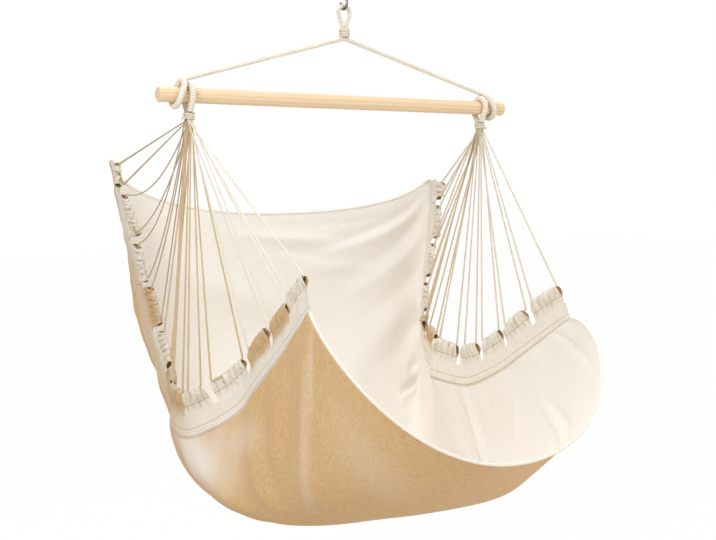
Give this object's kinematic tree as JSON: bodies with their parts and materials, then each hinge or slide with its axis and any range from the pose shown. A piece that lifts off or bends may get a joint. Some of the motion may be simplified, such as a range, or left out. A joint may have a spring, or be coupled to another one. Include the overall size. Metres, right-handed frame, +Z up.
{
  "type": "hanging hammock chair",
  "caption": "Hanging hammock chair: a canvas bucket seat on two fans of cord under a round wooden spreader bar, with a rope bridle and an S-hook.",
  "frame": {"origin": "middle of the hook's upper crook, where the ceiling's ring sits", "axes": "+Z up, the spreader bar runs along X, the sitter faces -Y"},
  "size_m": [1.0138, 1.0484, 1.3026],
  "materials": {
    "hook_steel": "bright zinc, slightly dull",
    "rope": "matt cotton rope",
    "served_rope": "rope wrapped tightly with thin cord",
    "cord": "matt cotton cord",
    "canvas": "melange cotton canvas",
    "hem_canvas": "doubled canvas, stitched",
    "bar_wood": "sanded, clear lacquer"
  },
  "bodies": {
    "hook": {"s_hook": "hook_steel"},
    "eye": {"eye_loop": "rope"},
    "binding": {"eye_whipping": "cord"},
    "bridle": {"suspension_rope": "rope", "left_rope_eye": "served_rope", "right_rope_eye": "served_rope"},
    "bar": {"spreader_bar": "bar_wood"},
    "seat": {"left_clew_eye": "served_rope", "right_clew_eye": "served_rope", "left_neck_whipping": "cord", "right_neck_whipping": "cord", "left_cord_01": "cord", "left_cord_02": "cord", "left_cord_03": "cord", "left_cord_04": "cord", "left_cord_05": "cord", "left_cord_06": "cord", "left_cord_07": "cord", "left_cord_08": "cord", "left_cord_09": "cord", "left_cord_10": "cord", "left_cord_11": "cord", "left_cord_12": "cord", "right_cord_01": "cord", "right_cord_02": "cord", "right_cord_03": "cord", "right_cord_04": "cord", "right_cord_05": "cord", "right_cord_06": "cord", "right_cord_07": "cord", "right_cord_08": "cord", "right_cord_09": "cord", "right_cord_10": "cord", "right_cord_11": "cord", "right_cord_12": "cord", "left_hem_casing": "hem_canvas", "right_hem_casing": "hem_canvas", "seat_cloth": "canvas", "front_hem": "hem_canvas", "back_hem": "hem_canvas"}
  },
  "joints": [
    {"name": "side_sway", "type": "hinge", "parent": "hook", "child": "eye", "pos_m": [0, 0, -0.062], "axis": [0, 1, 0], "range_deg": [-20, 20]},
    {"name": "twist", "type": "hinge", "parent": "eye", "child": "binding", "pos_m": [0, 0, -0.115], "axis": [0, 0, 1], "range_deg": [-90, 90], "stiffness_Nm_per_rad": 0.3},
    {"name": "swing", "type": "hinge", "parent": "binding", "child": "bridle", "pos_m": [0, 0, -0.1356], "axis": [1, 0, 0], "range_deg": [-30, 30]},
    {"name": "bar_roll", "type": "hinge", "parent": "bridle", "child": "bar", "pos_m": [0, 0, -0.2897], "axis": [1, 0, 0], "continuous": true},
    {"name": "seat_tilt", "type": "hinge", "parent": "bridle", "child": "seat", "pos_m": [0, 0, -0.2897], "axis": [1, 0, 0], "range_deg": [-18, 18]}
  ]
}
